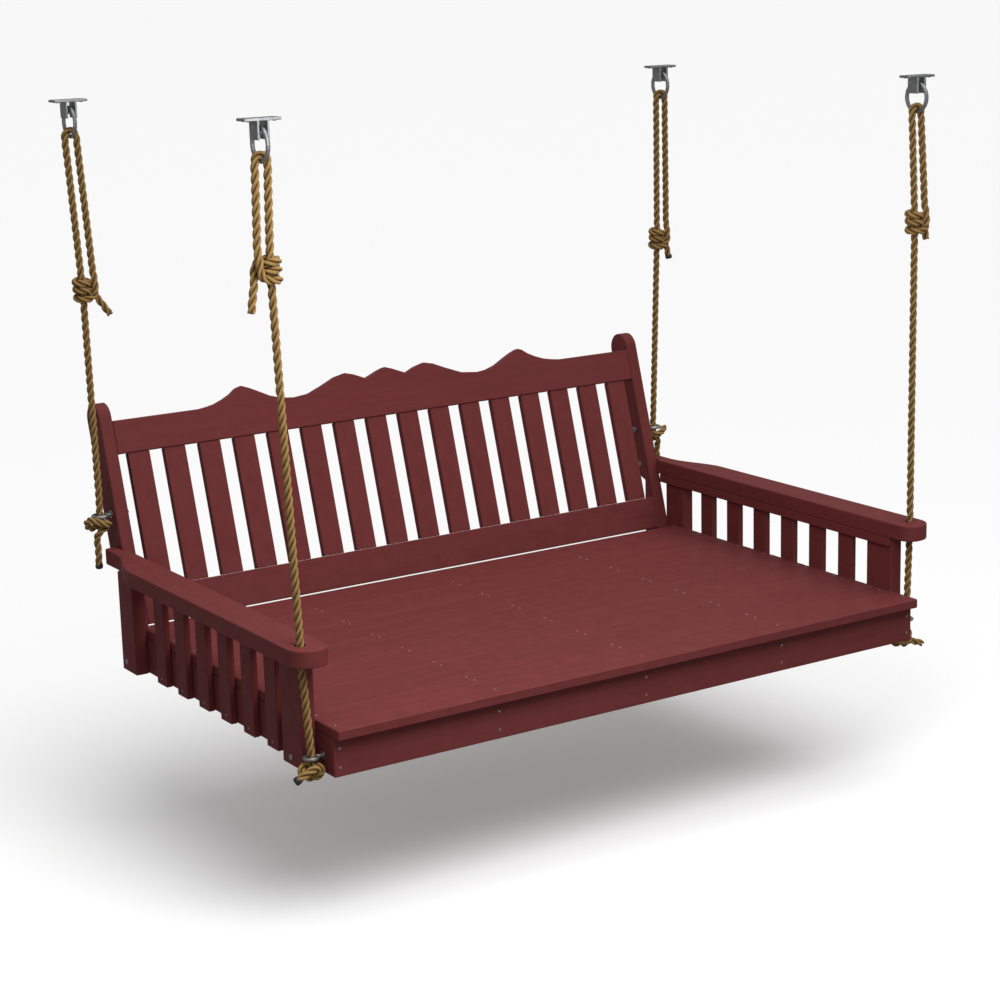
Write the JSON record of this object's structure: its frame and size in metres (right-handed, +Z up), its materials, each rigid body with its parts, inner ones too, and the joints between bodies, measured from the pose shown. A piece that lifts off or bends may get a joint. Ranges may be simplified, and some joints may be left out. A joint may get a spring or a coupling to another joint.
{
  "type": "porch swing seat",
  "caption": "Deep slatted porch swing seat with arms and a wavy crest rail, hung on knotted ropes from ceiling brackets; it swings to and fro.",
  "frame": {"origin": "in the ceiling plane, at the centre of the four ceiling brackets", "axes": "+Z up, the bench faces -Y, +X is to the right of someone looking at its front"},
  "size_m": [1.8738, 1.2424, 1.4249],
  "materials": {
    "deck_paint": "dark red satin paint on planed boards",
    "frame_paint": "dark red satin paint on timber",
    "slat_paint": "dark red satin paint on slats",
    "arm_paint": "dark red satin paint, smoothed edges",
    "zinc_steel": "zinc plated",
    "rope": "three-strand tan rope"
  },
  "bodies": {
    "ceiling": {"front_hanger_left": "zinc_steel", "front_hanger_right": "zinc_steel", "rear_hanger_left": "zinc_steel", "rear_hanger_right": "zinc_steel"},
    "front_ropes": {"front_hanger_ring_left": "zinc_steel", "front_hanger_ring_right": "zinc_steel", "front_rope_upper_left": "rope", "front_rope_upper_right": "rope"},
    "seat": {"arm_panel_left": "slat_paint", "arm_panel_right": "slat_paint", "armrest_left": "arm_paint", "armrest_right": "arm_paint", "back_post_left": "frame_paint", "back_post_right": "frame_paint", "back_slat_01": "slat_paint", "back_slat_02": "slat_paint", "back_slat_03": "slat_paint", "back_slat_04": "slat_paint", "back_slat_05": "slat_paint", "back_slat_06": "slat_paint", "back_slat_07": "slat_paint", "back_slat_08": "slat_paint", "back_slat_09": "slat_paint", "back_slat_10": "slat_paint", "back_slat_11": "slat_paint", "back_slat_12": "slat_paint", "back_slat_13": "slat_paint", "back_slat_14": "slat_paint", "back_slat_15": "slat_paint", "back_slat_16": "slat_paint", "crest_rail": "frame_paint", "deck_board_1": "deck_paint", "deck_board_2": "deck_paint", "deck_board_3": "deck_paint", "deck_board_4": "deck_paint", "deck_board_5": "deck_paint", "deck_board_6": "deck_paint", "deck_board_7": "deck_paint", "front_apron": "frame_paint", "front_eye_bolt_left": "zinc_steel", "front_eye_bolt_right": "zinc_steel", "front_post_left": "frame_paint", "front_post_right": "frame_paint", "front_rope_lower_left": "rope", "front_rope_lower_right": "rope", "joist_left": "frame_paint", "joist_middle": "frame_paint", "joist_right": "frame_paint", "lower_back_rail": "frame_paint", "rear_apron": "frame_paint", "rear_eye_bolt_left": "zinc_steel", "rear_eye_bolt_right": "zinc_steel", "rear_leg_left": "frame_paint", "rear_leg_right": "frame_paint", "side_rail_left": "frame_paint", "side_rail_right": "frame_paint"},
    "rear_ropes": {"rear_hanger_ring_left": "zinc_steel", "rear_hanger_ring_right": "zinc_steel", "rear_rope_left": "rope", "rear_rope_right": "rope"}
  },
  "joints": [
    {"name": "front_swing", "type": "hinge", "parent": "ceiling", "child": "front_ropes", "pos_m": [0, -0.5186, -0.03], "axis": [1, 0, 0], "range_deg": [-15, 15]},
    {"name": "seat_level", "type": "hinge", "parent": "front_ropes", "child": "seat", "pos_m": [0, -0.5438, -1.089], "axis": [1, 0, 0], "range_deg": [-14.45, 14.45]},
    {"name": "rear_swing", "type": "hinge", "parent": "ceiling", "child": "rear_ropes", "pos_m": [0, 0.48649, -0.03], "axis": [1, 0, 0], "range_deg": [-16.1, 16.1]}
  ],
  "couplings": [
    {"joint": "seat_level", "follows": "front_swing", "ratio": -0.9539},
    {"joint": "rear_swing", "follows": "front_swing", "ratio": 1.0653}
  ]
}
